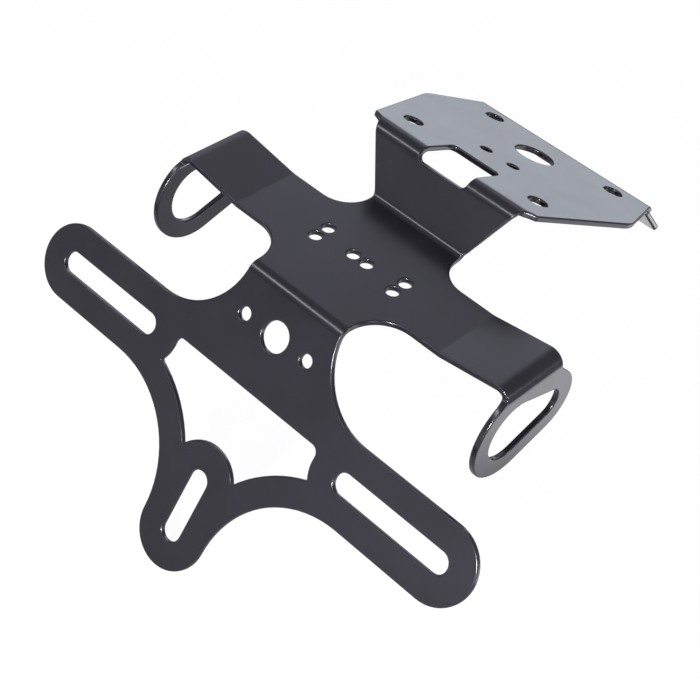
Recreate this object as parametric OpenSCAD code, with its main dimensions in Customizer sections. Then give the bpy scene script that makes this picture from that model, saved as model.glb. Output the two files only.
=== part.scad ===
// Tail tidy for a motorcycle: one steel sheet, cut flat and folded.
// It carries the number plate behind the seat and an indicator on each side.
// Millimetres. +Y forward, +Z up, +X to the right-hand side of the motorcycle.
// The origin is on the top face, at the centre of the four hanging bolts.
// The visible face of every panel is local z = 0 and the sheet lies below it.

/* [Sheet] */
// Thickness of the steel sheet
sheet_t = 2; // [1.5:0.1:3]
// Inside radius of every fold
bend_r = 2.8; // [1.5:0.1:3.5]

/* [Top plate] */
// Distance across between the bolt holes
bolt_x = 51; // [46:0.5:54]
// Distance along between the bolt holes
bolt_y = 49; // [44:0.5:50]
// Diameter of the bolt holes
bolt_d = 6.4; // [5.5:0.1:8.5]
// Diameter of the cable hole near the front
cable_d = 13.6; // [8:0.2:16]
// Cable hole, ahead of the bolt centre
cable_y = 12.5; // [8:0.5:16]
// Diameter of the tie holes in the top plate
tie_d = 4; // [3:0.1:5]
// Distance between the two tie holes
tie_gap = 11.1; // [8:0.1:14]
// Tie holes, behind the bolt centre
tie_y = 9.5; // [7:0.5:12]
// Width across the rear corners
top_rear_w = 65.8; // [62:0.2:70]
// Width at the widest point
top_wide_w = 87.6; // [82:0.2:94]
// Widest point, ahead of the bolt centre
top_wide_y = 6.4; // [2:0.2:10]
// Width where the front lip starts to fold
top_front_w = 73.4; // [72:0.2:78]
// Front fold line, ahead of the bolt centre
top_front = 31.2; // [30:0.2:36]
// Rear corners, behind the bolt centre
top_rear = 35.9; // [35:0.1:36.5]
// Ends of the slanted rear edges beside the riser, behind the bolt centre
top_ear = 37.5; // [36.9:0.1:38]
// Rounding of the side points
top_side_r = 10; // [4:1:14]
// Rounding of the rear corners
top_rear_r = 1.5; // [1:0.1:2]

/* [Front lip] */
// Angle the lip is folded down
lip_angle = 45.26; // [30:0.01:70]
// Flat length of the lip after its fold
lip_len = 7.8; // [5:0.2:12]
// Width at the narrow point of the lip
lip_neck_w = 71; // [68:0.5:71.5]
// Width along the lip's lower edge
lip_w = 80; // [76:0.5:86]
// Narrow point, along the lip from its fold
lip_neck_y = 1.5; // [1:0.1:2.5]
// Rounding of the lip's corners
lip_r = 0.7; // [0.5:0.1:2]

/* [Riser and window] */
// Rear face of the riser, behind the bolt centre
riser_back = 40.7; // [39.9:0.1:41.5]
// Height from the top face to the fold corner below
riser_h = 21.9; // [18:0.1:30]
// Width of the riser at the top face
riser_top_w = 58.6; // [54:0.2:60]
// Width of the riser at its lower fold
riser_low_w = 36.8; // [34:0.2:38]
// Width of the window through the top fold
window_w = 18.8; // [12:0.2:24]
// Front edge of the window, behind the bolt centre
window_front = 22.9; // [20:0.1:26]
// Lower edge of the window, below the top face
window_low = 4.4; // [3:0.1:8]
// Rounding of the window's corners
window_r = 2; // [1:0.5:4]

/* [Middle plate] */
// Slope of the middle plate below level
mid_slope = 21.565; // [15:0.005:30]
// Flat length of the middle plate between its folds
mid_len = 47.1; // [46:0.1:56]
// Width of the waist at the rear fold
waist_w = 38; // [34:0.5:44]
// Middle of the arms, from the front end of the flat
arm_mid = 22.55; // [22:0.05:23]
// Width of each arm
arm_w = 24.7; // [22:0.1:25]
// Crease on each arm, from the centre line
arm_crease = 41.5; // [38:0.5:46]
// Rise of the outer arm from the crease
arm_rise = 9.01; // [5:0.01:14]
// Radius between the arms and the rear waist
arm_fillet = 12; // [6:0.5:12]
// Diameter of the tie holes in the middle plate
mid_tie_d = 4.1; // [3:0.1:5]
// Tie hole line, from the front end of the flat
mid_tie_y = 23.5; // [22:0.1:26]
// Tie holes of the outer pairs, from the centre line
mid_tie_x = 15.9; // [13:0.1:20]
// Distance between two tie holes of a pair
mid_tie_gap = 5.5; // [5.5:0.1:8]

/* [Indicator loops] */
// Distance across the outer faces of the two loops
loop_across = 135; // [125:1:150]
// Radius at the big end of the loop's opening
loop_big_r = 9.9; // [8:0.1:11]
// Radius at the small end of the loop's opening
loop_small_r = 5.4; // [4:0.1:7]
// Distance between the two end centres
loop_pitch = 15.4; // [12:0.1:18]
// Width of metal around the opening
loop_rim = 6.45; // [5:0.05:7]
// Centres of the opening, below the fold
loop_drop = 13.3; // [12:0.1:16]
// Big end's centre, rearward of the arm's middle
loop_big_y = 6.35; // [5:0.05:8]

/* [Number plate bracket] */
// Angle of the bracket below level
plate_angle = 79.803; // [70:0.001:90]
// Line of the side slots, from the fold
slot_y = 33.5; // [32:0.1:36]
// Side slot centre, from the centre line
slot_x = 60; // [55:0.5:66]
// Length of a side slot, end to end
slot_len = 42.3; // [30:0.1:46]
// Width of every slot
slot_w = 7; // [5:0.1:8]
// Width of metal around every slot
slot_rim = 9; // [7:0.5:10]
// Upper end centre of the lower slot, from the fold
lobe_slot_y = 62.6; // [60:0.1:66]
// Length of the lower slot, end to end
lobe_slot_len = 25.1; // [18:0.1:30]
// Upper edge of the cut-out, from the fold
cutout_y = 30; // [28:0.5:31.5]
// How far out from the waist the curve to each of the bracket's arms reaches
plate_reach = 23.1; // [21:0.1:26]
// Width of the curved web under the cut-out
web_w = 9.2; // [8:0.1:12]
// Rounding of the cut-out's upper corners
cutout_r = 2.5; // [1.5:0.5:3]
// Rounding of the cut-out's other corners
cutout_small_r = 1; // [0.5:0.1:1.5]
// Diameter of the lamp cable hole
lamp_d = 9.7; // [6:0.1:11]
// Diameter of the two lamp screw holes
lamp_screw_d = 4.2; // [3:0.1:5.5]
// Distance between the lamp screw holes
lamp_gap = 25.4; // [22:0.1:28]
// Line of the lamp holes, from the fold
lamp_y = 11.4; // [10:0.1:14]

/* [Part] */
// Piece to draw

/* [Hidden] */
$fn = 96;
// Number of pieces: the sheet is one solid
// Room a cutter has beyond a face
over = 1;
// Outside radius of every fold
bend_out = bend_r + sheet_t;
// Angle of the fold between riser and middle plate
mid_fold = 90 - mid_slope;
// Angle of the fold between middle plate and number plate bracket
plate_fold = plate_angle - mid_slope;
// Flat height of the riser between its two folds
riser_len = riser_h - bend_out - bend_r * tan(mid_fold / 2);
// Half widths used by the outlines
waist = waist_w / 2;
neck = riser_low_w / 2;
slot_r = slot_w / 2;
// Radius of the material around every slot
rim_r = slot_r + slot_rim;
// Front and rear edges of the arms
arm_front = arm_mid - arm_w / 2;
arm_rear = arm_mid + arm_w / 2;
// Flat part of the arm beyond its crease, up to the loop's fold
arm_run = (loop_across / 2 - arm_crease) / cos(arm_rise);
crease_use = bend_r * tan(arm_rise / 2);
loop_fold = 90 + arm_rise;
arm_len = arm_run - crease_use - bend_out * tan(loop_fold / 2);
// Ends of the slots
slot_half = slot_len / 2 - slot_r;
slot_in = slot_x - slot_half;
slot_out = slot_x + slot_half;
lobe_end_y = lobe_slot_y + lobe_slot_len - slot_w;
// Edges of the number plate bracket's arms
plate_top = slot_y - rim_r;
plate_low = slot_y + rim_r;
// Large curve under each side of the bracket, and the cut-out's curve outside it
under_r = lobe_end_y - plate_low;
under_x = rim_r + under_r;
web_r = under_r + web_w;
// Curve from each end of the waist, out to where it meets the arm's upper edge
side_x = waist + plate_reach;
side_r = (pow(plate_reach, 2) + pow(plate_top, 2)) / (2 * plate_top);

// Point where two circles meet, on the chosen side of the line between them
function meet(c1, r1, c2, r2, side) =
    let (d = c2 - c1, l = norm(d), a = (r1 * r1 - r2 * r2 + l * l) / (2 * l))
    let (h = sqrt(r1 * r1 - a * a))
    c1 + d * a / l + side * h * [-d[1], d[0]] / l;

// Point on the way from a centre to another point, at a radius
function toward(c, p, r) = c + (p - c) * r / norm(p - c);

// Point where a line from p touches a circle
function touch(p, c, r, side) =
    let (v = (p - c) / norm(p - c), a = side * acos(r / norm(p - c)))
    c + r * [v[0] * cos(a) - v[1] * sin(a), v[0] * sin(a) + v[1] * cos(a)];

// Both halves of something drawn on the +X side
module both_sides() {
    children();
    mirror([1, 0, 0])
        children();
}

// What rounding takes off the corner p between the points a and b, run on past the edges
module corner(p, a, b, r) {
    u = (a - p) / norm(a - p);
    w = (b - p) / norm(b - p);
    half = acos(u * w) / 2;
    k = p + (u + w) / norm(u + w) * r / sin(half);
    grow = 1 + over / r;
    at_u = k + (p + u * r / tan(half) - k) * grow;
    at_w = k + (p + w * r / tan(half) - k) * grow;
    difference() {
        polygon([k, at_u, k + (p - k) * grow, at_w]);
        translate(k)
            circle(r);
    }
}

// What rounding fills between two circles that meet
module arc_corner(c1, r1, c2, r2, side, r) {
    k = meet(c1, r1 + r, c2, r2 + r, side);
    difference() {
        polygon([meet(c1, r1, c2, r2, side), toward(c1, k, r1), k, toward(c2, k, r2)]);
        translate(k)
            circle(r);
    }
}

// Slot along X between two end centres
module slot_x_shape(x1, x2, y, r) {
    translate([x1, y])
        circle(r);
    translate([x2, y])
        circle(r);
    translate([x1, y - r])
        square([x2 - x1, 2 * r]);
}

// Slot along Y between two end centres
module slot_y_shape(y1, y2, r) {
    translate([0, y1])
        circle(r);
    translate([0, y2])
        circle(r);
    translate([-r, y1])
        square([2 * r, y2 - y1]);
}

// Sheet below the visible face
module sheet() {
    translate([0, 0, -sheet_t])
        linear_extrude(height = sheet_t)
            children();
}

// Ring of sheet along X, with the seam turned away from the fold
module fold_ring(w, turn) {
    rotate([0, turn, 0])
        linear_extrude(height = w, center = true)
            difference() {
                circle(bend_out);
                circle(bend_r);
            }
}

// All space on one side of the plane y = 0, as far as a fold can reach
module half_space(w, side) {
    far = 3 * bend_out;
    translate([-w, side > 0 ? 0 : -far, -far])
        cube([2 * w, far, 2 * far]);
}

// Carries its children round a fold whose visible face is on the outside
module after_down(angle) {
    translate([0, 0, -bend_out])
        rotate([-angle, 0, 0])
            translate([0, 0, bend_out])
                children();
}

// Bent strip whose visible face is on the outside
module fold_down(angle, w) {
    intersection() {
        translate([0, 0, -bend_out])
            fold_ring(w, 90);
        half_space(w, 1);
        after_down(angle)
            half_space(w, -1);
    }
}

// Carries its children round a fold whose visible face is on the inside
module after_up(angle) {
    translate([0, 0, bend_r])
        rotate([angle, 0, 0])
            translate([0, 0, -bend_r])
                children();
}

// Bent strip whose visible face is on the inside
module fold_up(angle, w) {
    intersection() {
        translate([0, 0, bend_r])
            fold_ring(w, -90);
        half_space(w, 1);
        after_up(angle)
            half_space(w, -1);
    }
}

// Outline of the top plate, with rearward as +Y, run on over the riser's fold
module top_outline() {
    ear = [riser_top_w / 2, top_ear];
    rear = [top_rear_w / 2, top_rear];
    side = [top_wide_w / 2, -top_wide_y];
    front = [top_front_w / 2, -top_front];
    difference() {
        union() {
            polygon([[0, top_ear], ear, rear, side, front, [0, -top_front]]);
            mirror([1, 0, 0])
                polygon([[0, top_ear], ear, rear, side, front, [0, -top_front]]);
        }
        both_sides()
            corner(side, rear, front, top_side_r);
        both_sides()
            corner(rear, ear, side, top_rear_r);
    }
}

// Outline of the front lip from the end of its fold
module lip_outline() {
    start = [top_front_w / 2, 0];
    knee = [lip_neck_w / 2, lip_neck_y];
    low = [lip_w / 2, lip_len];
    difference() {
        polygon([start, knee, low, [-low[0], low[1]], [-knee[0], knee[1]], [-start[0], 0]]);
        both_sides()
            corner(low, knee, [0, lip_len], lip_r);
    }
}

// Riser seen from behind, from the top face down to its lower fold
module riser_outline() {
    top = riser_top_w / 2;
    polygon([[-top, 0], [top, 0], [neck, -riser_h], [neck, -2 * riser_h], [-neck, -2 * riser_h], [-neck, -riser_h]]);
}

// Middle plate between its two folds, out to the creases of the arms
module mid_outline() {
    low_end = arm_rear + arm_fillet;
    both_sides()
        translate([0, arm_front])
            square([arm_crease - crease_use, arm_w]);
    difference() {
        translate([-neck - arm_front, 0])
            square([2 * (neck + arm_front), arm_front + over]);
        both_sides()
            translate([neck + arm_front, 0])
                circle(arm_front);
    }
    difference() {
        translate([-waist - arm_fillet, arm_rear - over])
            square([2 * (waist + arm_fillet), arm_fillet + over]);
        both_sides()
            translate([waist + arm_fillet, low_end])
                circle(arm_fillet);
    }
    translate([-waist, low_end - over])
        square([waist_w, mid_len - low_end + over]);
}

// Tie holes in the middle plate
module mid_holes() {
    both_sides() {
        translate([mid_tie_x, mid_tie_y - mid_tie_gap / 2])
            circle(d = mid_tie_d);
        translate([mid_tie_x, mid_tie_y + mid_tie_gap / 2])
            circle(d = mid_tie_d);
        translate([mid_tie_gap / 2, mid_tie_y])
            circle(d = mid_tie_d);
    }
}

// Teardrop of two circles with straight sides between them
module teardrop(grow) {
    big = [-loop_big_y, loop_drop];
    small = [loop_pitch - loop_big_y, loop_drop];
    lean = asin((loop_big_r - loop_small_r) / loop_pitch);
    rb = loop_big_r + grow;
    rs = loop_small_r + grow;
    up = [sin(lean), -cos(lean)];
    down = [sin(lean), cos(lean)];
    translate(big)
        circle(rb);
    translate(small)
        circle(rs);
    polygon([big + rb * up, small + rs * up, small + rs * down, big + rb * down]);
}

// Indicator loop from the end of its fold, hanging along +Y
module loop_outline() {
    half = arm_w / 2;
    small = [loop_pitch - loop_big_y, loop_drop];
    shoulder = touch([half, 0], small, loop_small_r + loop_rim, 1);
    top = loop_big_r + loop_rim;
    difference() {
        union() {
            teardrop(loop_rim);
            translate([-half, 0])
                square([arm_w, loop_drop]);
            polygon([[half, 0], shoulder, small]);
        }
        teardrop(0);
        translate([-2 * top, -top])
            square([4 * top, top]);
        polygon([[half, -over], [half, 0], shoulder, [shoulder[0] + 2 * over, shoulder[1]], [2 * half, -over]]);
    }
}

// Fold between an arm and its loop, with the loop's rear edge run on round the fold
module loop_bend() {
    half = arm_w / 2;
    top = loop_big_r + loop_rim;
    intersection() {
        fold_down(loop_fold, 4 * top);
        after_down(loop_fold)
            translate([0, 0, -2 * bend_out])
                linear_extrude(height = 2 * bend_out + over) {
                    translate([-half, -2 * bend_out])
                        square([arm_w, 3 * bend_out]);
                    translate([-loop_big_y, loop_drop])
                        circle(top);
                }
    }
}

// Outline of the number plate bracket from its fold
module plate_outline() {
    difference() {
        union() {
            slot_x_shape(-slot_out, slot_out, slot_y, rim_r);
            translate([-side_x, 0])
                square([2 * side_x, slot_y]);
            translate([-under_x, slot_y])
                square([2 * under_x, lobe_end_y - slot_y]);
            translate([0, lobe_end_y])
                circle(rim_r);
        }
        both_sides()
            translate([side_x, plate_top - side_r])
                circle(side_r);
        both_sides()
            translate([under_x, lobe_end_y])
                circle(under_r);
    }
}

// Weight-saving cut-out between the side slots and the lower slot
module cutout() {
    ring = [slot_in, slot_y];
    lobe = [0, lobe_slot_y];
    arch = [under_x, lobe_end_y];
    top_k = [slot_in - sqrt(pow(rim_r + cutout_r, 2) - pow(slot_y - cutout_y - cutout_r, 2)), cutout_y + cutout_r];
    top_p = [slot_in - sqrt(pow(rim_r, 2) - pow(slot_y - cutout_y, 2)), cutout_y];
    difference() {
        translate([-slot_in, cutout_y])
            square([2 * slot_in, lobe_slot_y - cutout_y]);
        translate(lobe)
            circle(rim_r);
        both_sides() {
            translate(ring)
                circle(rim_r);
            translate(arch)
                circle(web_r);
            arc_corner(ring, rim_r, arch, web_r, -1, cutout_small_r);
            arc_corner(lobe, rim_r, arch, web_r, 1, cutout_small_r);
            difference() {
                polygon([top_p, [top_k[0], cutout_y], top_k, toward(ring, top_k, rim_r)]);
                translate(top_k)
                    circle(cutout_r);
            }
        }
    }
}

// Slots, lamp holes and cut-out of the number plate bracket
module plate_holes() {
    both_sides()
        slot_x_shape(slot_in, slot_out, slot_y, slot_r);
    slot_y_shape(lobe_slot_y, lobe_end_y, slot_r);
    translate([0, lamp_y])
        circle(d = lamp_d);
    both_sides()
        translate([lamp_gap / 2, lamp_y])
            circle(d = lamp_screw_d);
    cutout();
}

// Arm beyond its crease, with the fold and the indicator loop
module arm_end() {
    translate([arm_crease - crease_use, arm_mid, 0])
        rotate([0, 0, -90]) {
            fold_up(arm_rise, arm_w);
            after_up(arm_rise) {
                sheet()
                    translate([-arm_w / 2, 0])
                        square([arm_w, arm_len]);
                translate([0, arm_len, 0]) {
                    loop_bend();
                    after_down(loop_fold)
                        sheet()
                            loop_outline();
                }
            }
        }
}

// Number plate bracket
module plate_panel() {
    sheet()
        difference() {
            plate_outline();
            plate_holes();
        }
}

// Middle plate with its arms, its rear fold and the bracket behind it
module mid_panel() {
    sheet()
        difference() {
            mid_outline();
            mid_holes();
        }
    both_sides()
        arm_end();
    translate([0, mid_len, 0]) {
        fold_down(plate_fold, waist_w);
        after_down(plate_fold)
            plate_panel();
    }
}

// Folds above and below the riser, with the riser between them, before its sides are cut
module riser_strip() {
    fold_down(90, top_rear_w);
    after_down(90) {
        sheet()
            translate([-top_rear_w / 2, 0])
                square([top_rear_w, riser_len]);
        translate([0, riser_len, 0])
            fold_up(mid_fold, top_rear_w);
    }
}

// Window through the top fold, cut down through the plate and in from behind
module window() {
    half = window_w / 2;
    back = riser_back - bend_out;
    translate([0, 0, -sheet_t - over])
        linear_extrude(height = sheet_t + 2 * over)
            difference() {
                translate([-half, window_front])
                    square([window_w, back + over - window_front]);
                both_sides()
                    corner([half, window_front], [0, window_front], [half, back], window_r);
            }
    translate([0, riser_back + over, 0])
        rotate([90, 0, 0])
            linear_extrude(height = bend_out + over)
                difference() {
                    translate([-half, -window_low])
                        square([window_w, window_low + over]);
                    both_sides()
                        corner([half, -window_low], [0, -window_low], [half, 0], window_r);
                }
}

// Round holes of the top plate
module top_holes() {
    both_sides() {
        translate([bolt_x / 2, bolt_y / 2])
            circle(d = bolt_d);
        translate([bolt_x / 2, -bolt_y / 2])
            circle(d = bolt_d);
        translate([tie_gap / 2, tie_y])
            circle(d = tie_d);
    }
    translate([0, -cable_y])
        circle(d = cable_d);
}

// Top plate with its front lip, and the start of the riser's fold out to the rear corners
module top_panel() {
    back = riser_back - bend_out;
    wide = 2 * top_wide_w;
    intersection() {
        union() {
            sheet()
                translate([-wide / 2, -top_front])
                    square([wide, top_front + back]);
            translate([0, back, 0])
                fold_down(90, wide);
        }
        translate([0, 0, -bend_out])
            linear_extrude(height = bend_out + over)
                difference() {
                    top_outline();
                    top_holes();
                }
    }
    translate([0, -top_front, 0])
        mirror([0, 1, 0]) {
            fold_down(lip_angle, top_front_w);
            after_down(lip_angle)
                sheet()
                    lip_outline();
        }
}

// The whole folded sheet
module folded_bracket() {
    back = riser_back - bend_out;
    color("#26262b")
        mirror([0, 1, 0])
            difference() {
                union() {
                    top_panel();
                    intersection() {
                        translate([0, back, 0])
                            riser_strip();
                        translate([0, 2 * riser_back, 0])
                            rotate([90, 0, 0])
                                linear_extrude(height = 2 * riser_back)
                                    riser_outline();
                    }
                    translate([0, back, 0])
                        after_down(90)
                            translate([0, riser_len, 0])
                                after_up(mid_fold)
                                    mid_panel();
                }
                window();
            }
}

folded_bracket();
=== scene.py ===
import math

import bpy
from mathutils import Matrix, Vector


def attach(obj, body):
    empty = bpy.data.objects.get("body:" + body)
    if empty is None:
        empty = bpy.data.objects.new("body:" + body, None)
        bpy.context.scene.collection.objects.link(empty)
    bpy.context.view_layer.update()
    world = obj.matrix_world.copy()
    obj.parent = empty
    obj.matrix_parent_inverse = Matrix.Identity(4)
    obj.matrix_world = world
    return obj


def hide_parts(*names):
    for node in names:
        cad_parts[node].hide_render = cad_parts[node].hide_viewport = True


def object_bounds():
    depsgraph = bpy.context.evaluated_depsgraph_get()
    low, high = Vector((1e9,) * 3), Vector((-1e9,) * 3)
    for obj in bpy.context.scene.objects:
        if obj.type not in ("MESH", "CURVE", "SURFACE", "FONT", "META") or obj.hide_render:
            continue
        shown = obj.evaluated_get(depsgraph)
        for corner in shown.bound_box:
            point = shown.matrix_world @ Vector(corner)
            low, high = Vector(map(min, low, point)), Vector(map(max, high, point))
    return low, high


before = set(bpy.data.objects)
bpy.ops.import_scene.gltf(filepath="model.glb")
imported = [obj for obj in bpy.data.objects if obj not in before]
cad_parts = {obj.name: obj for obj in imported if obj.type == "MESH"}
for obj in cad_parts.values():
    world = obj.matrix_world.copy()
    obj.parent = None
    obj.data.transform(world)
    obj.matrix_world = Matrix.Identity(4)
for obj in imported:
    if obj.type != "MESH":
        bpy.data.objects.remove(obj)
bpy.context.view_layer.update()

# Folded sheet
# The whole part is one blank of 2 mm mild steel, laser cut with its slots, holes and window,
# then folded on a press brake. It is blasted and powder coated in satin black, and the coat
# rounds every cut edge.

edge_round = 0.00055   # the coat's radius over a cut edge, in metres
round_steps = 4        # facets across that radius
merge_gap = 0.000004   # points of the loose triangles that are the same point, in metres
flat_angle = 0.4       # neighbouring triangles that lie in one face, in degrees
edge_angle = 35.0      # anything sharper than this is a cut edge, in degrees

bpy.ops.object.select_all(action="DESELECT")
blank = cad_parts["folded_bracket"]
sheet = bpy.data.objects.new("coated_sheet", blank.data.copy())
bpy.context.collection.objects.link(sheet)
sheet.select_set(True)
bpy.context.view_layer.objects.active = sheet

bpy.ops.object.mode_set(mode="EDIT")
bpy.ops.mesh.select_all(action="SELECT")
bpy.ops.mesh.remove_doubles(threshold=merge_gap)
bpy.ops.mesh.dissolve_limited(angle_limit=math.radians(flat_angle), delimit=set())
bpy.ops.mesh.select_all(action="DESELECT")
bpy.ops.object.mode_set(mode="OBJECT")
bpy.ops.mesh.customdata_custom_splitnormals_clear()
bpy.ops.object.shade_smooth()

rounding = sheet.modifiers.new("rounded_edges", "BEVEL")
rounding.width = edge_round
rounding.segments = round_steps
rounding.limit_method = "ANGLE"
rounding.angle_limit = math.radians(edge_angle)
rounding.use_clamp_overlap = False
rounding.loop_slide = False
rounding.miter_outer = "MITER_ARC"
bpy.ops.object.modifier_apply(modifier=rounding.name)

# The flat faces keep their own shading right up to the roundings.
even = sheet.modifiers.new("even_faces", "WEIGHTED_NORMAL")
even.mode = "FACE_AREA"
even.weight = 50
even.keep_sharp = False
bpy.ops.object.modifier_apply(modifier=even.name)


def colour(text):
    """An sRGB hex colour as linear red, green, blue and alpha."""
    parts = [int(text[i:i + 2], 16) / 255 for i in (1, 3, 5)]
    return [p / 12.92 if p <= 0.04045 else ((p + 0.055) / 1.055) ** 2.4 for p in parts] + [1.0]


def node(tree, kind, settings, links):
    """Adds a node, gives it its settings and inputs, and links other nodes' outputs to it.

    An input goes by its name, or by its number where several have the same name."""
    new = tree.nodes.new(kind)
    for name, value in settings.items():
        if isinstance(name, int) or (name in new.inputs and not hasattr(new, name)):
            new.inputs[name].default_value = value
        else:
            setattr(new, name, value)
    for name, source in links.items():
        tree.links.new(source, new.inputs[name])
    return new


# Satin black powder coat: epoxy-polyester powder, sprayed on and baked. It flows into a
# smooth film with a faint orange peel, so it shines softly, and its tone and gloss vary
# a little in clouds.

peel_size = 0.0012     # one dimple of the orange peel, in metres
peel_depth = 0.00008   # the dimples' full height, in metres
cloud_size = 0.018     # one cloud of tone and gloss, in metres

coat = bpy.data.materials.new("satin_black_powder_coat")
coat.use_nodes = True
tree = coat.node_tree
tree.nodes.clear()
place = node(tree, "ShaderNodeTexCoord", {}, {})
peel = node(tree, "ShaderNodeTexNoise",
            {"Scale": 1 / peel_size, "Detail": 2.0, "Roughness": 0.5},
            {"Vector": place.outputs["Object"]})
cloud = node(tree, "ShaderNodeTexNoise",
             {"Scale": 1 / cloud_size, "Detail": 3.0, "Roughness": 0.6},
             {"Vector": place.outputs["Object"]})
tone = node(tree, "ShaderNodeValToRGB", {}, {"Fac": cloud.outputs["Fac"]})
tone.color_ramp.elements[0].position = 0.30
tone.color_ramp.elements[0].color = colour("#100F14")
tone.color_ramp.elements[1].position = 0.70
tone.color_ramp.elements[1].color = colour("#16151B")
gloss = node(tree, "ShaderNodeMapRange",
             {"From Min": 0.3, "From Max": 0.7, "To Min": 0.20, "To Max": 0.24},
             {"Value": cloud.outputs["Fac"]})
skin = node(tree, "ShaderNodeBump", {"Strength": 0.03, "Distance": peel_depth},
            {"Height": peel.outputs["Fac"]})
paint = node(tree, "ShaderNodeBsdfPrincipled", {"IOR": 1.5, "Metallic": 0.0},
             {"Base Color": tone.outputs["Color"], "Roughness": gloss.outputs["Result"],
              "Normal": skin.outputs["Normal"]})
node(tree, "ShaderNodeOutputMaterial", {}, {"Surface": paint.outputs["BSDF"]})

sheet.data.materials.clear()
sheet.data.materials.append(coat)
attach(sheet, "root")
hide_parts("folded_bracket")

# Floor
# A plain studio floor of matt paper just under the bracket's lower lobe. It glows white to
# the camera and a little to mirrored rays, and still takes the part's soft shadow.

floor_size = 6.0       # in metres
floor_gap = 0.001      # from the part's lowest point, in metres
floor_glow = 1.28      # the glow's strength
camera_share = 0.72    # how much of the floor is glow and not paper to the camera
mirror_share = 0.28    # the same to mirrored and transmitted rays

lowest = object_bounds()[0][2]
bpy.ops.object.select_all(action="DESELECT")
bpy.ops.mesh.primitive_plane_add(size=floor_size, location=(0.0, 0.0, 0.0))
floor = bpy.context.object
floor.name = "studio_floor"
bpy.ops.transform.translate(value=(0.0, 0.0, lowest - floor_gap))
bpy.ops.object.transform_apply(location=True, rotation=True, scale=True)

paper = bpy.data.materials.new("white_studio_paper")
paper.use_nodes = True
tree = paper.node_tree
tree.nodes.clear()
matt = node(tree, "ShaderNodeBsdfDiffuse", {"Color": colour("#9A999F")}, {})
bright = node(tree, "ShaderNodeEmission",
              {"Color": colour("#FFFFFF"), "Strength": floor_glow}, {})
rays = node(tree, "ShaderNodeLightPath", {}, {})
mirrored = node(tree, "ShaderNodeMath", {"operation": "MAXIMUM"},
                {0: rays.outputs["Is Glossy Ray"], 1: rays.outputs["Is Transmission Ray"]})
direct = node(tree, "ShaderNodeMath", {"operation": "MULTIPLY", 1: camera_share},
              {0: rays.outputs["Is Camera Ray"]})
share = node(tree, "ShaderNodeMath", {"operation": "MULTIPLY_ADD", 1: mirror_share},
             {0: mirrored.outputs["Value"], 2: direct.outputs["Value"]})
blend = node(tree, "ShaderNodeMixShader", {},
             {0: share.outputs["Value"], 1: matt.outputs["BSDF"],
              2: bright.outputs["Emission"]})
node(tree, "ShaderNodeOutputMaterial", {}, {"Surface": blend.outputs["Shader"]})
floor.data.materials.append(paper)

# Light
# A dim studio, bright over the part and darker ahead of it, which the cut edges mirror. A
# large soft box in front lights the top plate, a long strip behind draws the light lines
# along the folds, and boxes and cards at the right are mirrored by the loops and the lip.

ceiling_way = (-0.55, 0.45, 0.70)   # towards the middle of the bright ceiling
gap_way = (-0.36, 0.92, 0.12)       # towards the middle of the dark gap
world_share = 0.15                  # how much white mirrored rays see in the world

world = bpy.data.worlds.new("white_studio")
bpy.context.scene.world = world
world.use_nodes = True
tree = world.node_tree
tree.nodes.clear()
way = node(tree, "ShaderNodeTexCoord", {}, {})
above = node(tree, "ShaderNodeVectorMath", {"operation": "DOT_PRODUCT", 1: ceiling_way},
             {0: way.outputs["Generated"]})
ceiling = node(tree, "ShaderNodeMapRange",
               {"interpolation_type": "SMOOTHSTEP", "From Min": 0.86, "From Max": 0.966,
                "To Min": 0.35, "To Max": 1.09},
               {"Value": above.outputs["Value"]})
ahead = node(tree, "ShaderNodeVectorMath", {"operation": "DOT_PRODUCT", 1: gap_way},
             {0: way.outputs["Generated"]})
gap = node(tree, "ShaderNodeMapRange",
           {"interpolation_type": "SMOOTHSTEP", "From Min": 0.90, "From Max": 0.975,
            "To Min": 1.0, "To Max": 0.05},
           {"Value": ahead.outputs["Value"]})
level = node(tree, "ShaderNodeMath", {"operation": "MULTIPLY"},
             {0: ceiling.outputs["Result"], 1: gap.outputs["Result"]})
soft = node(tree, "ShaderNodeBackground", {"Color": colour("#EBEAFF")},
            {"Strength": level.outputs["Value"]})
seen = node(tree, "ShaderNodeBackground", {"Color": colour("#FFFFFF"), "Strength": 1.0}, {})
rays = node(tree, "ShaderNodeLightPath", {}, {})
mirrored = node(tree, "ShaderNodeMath", {"operation": "MAXIMUM"},
                {0: rays.outputs["Is Glossy Ray"], 1: rays.outputs["Is Transmission Ray"]})
share = node(tree, "ShaderNodeMath", {"operation": "MULTIPLY_ADD", 1: world_share},
             {0: mirrored.outputs["Value"], 2: rays.outputs["Is Camera Ray"]})
blend = node(tree, "ShaderNodeMixShader", {},
             {0: share.outputs["Value"], 1: soft.outputs["Background"],
              2: seen.outputs["Background"]})
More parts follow.
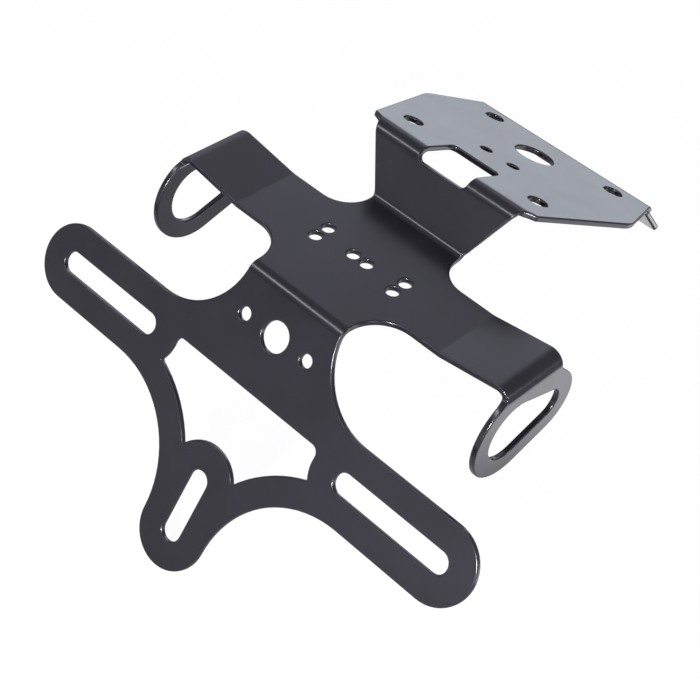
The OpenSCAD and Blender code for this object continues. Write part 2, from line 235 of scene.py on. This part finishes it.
node(tree, "ShaderNodeOutputWorld", {}, {"Surface": blend.outputs["Shader"]})

# Each lamp's name, place, the point that it faces, width and height in metres, watts, tint.
# The cards lie at floor level and face up.
for name, spot, aim, size, power, tint in (
        ("strip_behind_left", (-0.40, -1.00, 0.64), (0.0, -0.08, -0.03),
         (1.20, 0.13), 5.3, "#FAFAFF"),
        ("box_right", (1.15, -0.55, 0.10), (0.0, -0.08, -0.05),
         (0.5, 0.5), 4.0, "#FAFAFF"),
        ("box_right_front", (1.37, 0.46, 0.52), (0.03, 0.03, 0.0),
         (0.28, 0.28), 4.2, "#FAFAFF"),
        ("box_in_front", (-0.65, 1.28, 0.80), (0.0, -0.02, 0.0),
         (1.4, 1.0), 9.1, "#ECF2FF"),
        ("box_by_camera", (0.24, -0.56, 0.04), (0.05, -0.38, lowest),
         (0.10, 0.10), 6.4, "#FAFAFF"),
        ("card_under_lip", (-0.020, 0.080, lowest), (-0.020, 0.080, 0.0),
         (0.045, 0.045), 0.025, "#FAFAFF"),
        ("card_right", (0.73, 0.63, lowest), (0.73, 0.63, 0.0),
         (1.2, 1.2), 6.3, "#FAFAFF")):
    lamp = bpy.data.lights.new(name, "AREA")
    lamp.shape = "RECTANGLE"
    lamp.size, lamp.size_y = size
    lamp.energy = power
    lamp.color = colour(tint)[:3]
    holder = bpy.data.objects.new(name, lamp)
    bpy.context.collection.objects.link(holder)
    holder.location = spot
    holder.visible_camera = False
    holder.rotation_euler = (Vector(aim) - Vector(spot)).to_track_quat("-Z", "Y").to_euler()

# Camera
# It stands behind the part, to its right and a little above, rolled as the photograph is.

lens = bpy.data.cameras.new("camera")
lens.lens = 76.77
lens.sensor_width = 36.0
lens.clip_start = 0.01
lens.clip_end = 20.0
camera = bpy.data.objects.new("camera", lens)
bpy.context.collection.objects.link(camera)
camera.location = (0.20751, -0.41764, 0.13511)
camera.rotation_euler = [math.radians(a) for a in (62.488, -21.467, 40.069)]
bpy.context.scene.camera = camera
bpy.context.scene.view_settings.view_transform = "Standard"
